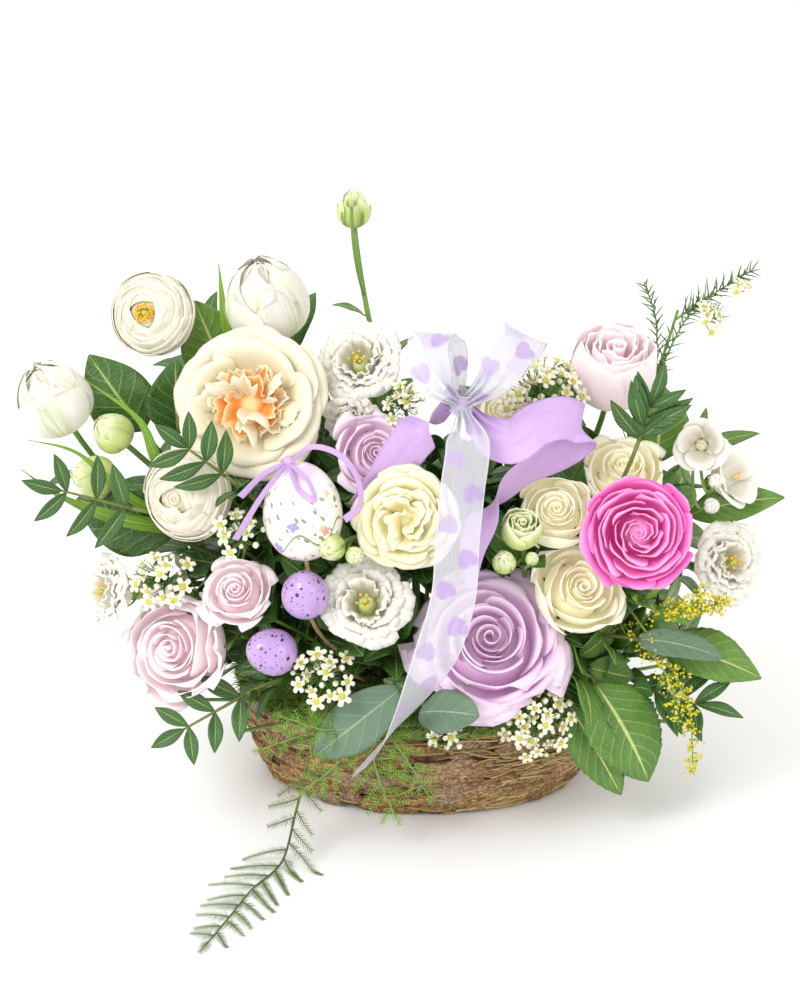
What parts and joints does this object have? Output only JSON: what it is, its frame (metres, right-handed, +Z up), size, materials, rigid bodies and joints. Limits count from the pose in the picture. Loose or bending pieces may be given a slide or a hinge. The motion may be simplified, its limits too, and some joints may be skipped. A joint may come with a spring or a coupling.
{
  "type": "flower basket arrangement",
  "caption": "Low oval basket of bark, straw and moss filled with spring flowers, leafy sprays, pastel eggs on picks and a ribbon bow.",
  "frame": {"origin": "middle of the flat face that the basket stands on", "axes": "+Z up, +X along the basket's long side to the viewer's right, +Y away from the viewer, who sees the ribbon and the painted egg"},
  "size_m": [0.4581, 0.3038, 0.3713],
  "materials": {
    "bark": "rough bark and straw, dry",
    "liner": "thin dark green plastic",
    "foam": "wet floral foam, fine grained",
    "moss": "damp sheet moss",
    "glazed_egg": "white glossy shell with small painted sprigs",
    "lilac_egg": "lilac shell with dark speckles",
    "satin": "lilac satin",
    "organza": "sheer white organza with lilac hearts",
    "pick": "plain wooden pick",
    "white_petals": "soft petals",
    "cream_petals": "soft petals",
    "yellow_petals": "soft petals",
    "blush_petals": "soft petals",
    "lavender_petals": "soft petals",
    "pink_petals": "soft petals",
    "bud": "waxy green bud",
    "leaf": "dark glossy leaf",
    "pale_leaf": "lighter glossy leaf",
    "eucalyptus": "grey-green matt leaf",
    "fern": "fine feathery green",
    "wax_petals": "small waxy petals",
    "solidago": "fuzzy yellow florets"
  },
  "bodies": {
    "root": {"basket": "bark", "liner": "liner", "painted_egg": "glazed_egg", "egg_bow": "satin", "speckled_egg_upper": "lilac_egg", "speckled_egg_lower": "lilac_egg", "organza_ribbon": "organza", "satin_ribbon": "satin", "bow_pick": "pick", "rose_lavender": "lavender_petals", "rose_blush_left": "blush_petals", "rose_blush_small": "blush_petals", "lisianthus_front": "white_petals", "daffodil_yellow": "yellow_petals", "ranunculus_pink": "pink_petals", "rose_cream_low": "cream_petals", "rose_cream_mid": "cream_petals", "ranunculus_cream": "cream_petals", "daffodil_cream": "cream_petals", "lisianthus_left": "white_petals", "lisianthus_right": "white_petals", "rose_lilac": "lavender_petals", "rose_cream_back": "cream_petals", "rose_cream_top": "cream_petals", "rose_blush_top": "blush_petals", "ranunculus_eyed": "white_petals", "tulip_left": "white_petals", "tulip_top": "white_petals", "lisianthus_top": "white_petals", "lisianthus_tall_bud": "bud", "lisianthus_bud_pair": "bud", "lisianthus_bud_spray": "bud", "tulip_buds": "bud", "freesia": "white_petals", "salal_left_high": "leaf", "salal_left_low": "leaf", "salal_top": "pale_leaf", "salal_right_low": "leaf", "salal_right": "pale_leaf", "salal_right_high": "pale_leaf", "salal_back": "leaf", "salal_back_right": "leaf", "pistachio_left": "leaf", "pistachio_mid": "leaf", "pistachio_right": "leaf", "pistachio_low_left": "leaf", "pistachio_low_right": "leaf", "eucalyptus_front": "eucalyptus", "eucalyptus_right": "eucalyptus", "wax_left": "wax_petals", "wax_mid": "wax_petals", "wax_top": "wax_petals", "wax_right_tall": "wax_petals", "wax_front_left": "wax_petals", "wax_front_right": "wax_petals", "solidago": "solidago", "fern_trailing": "fern", "fern_front": "fern", "moss": "moss", "foam": "foam"}
  },
  "joints": []
}
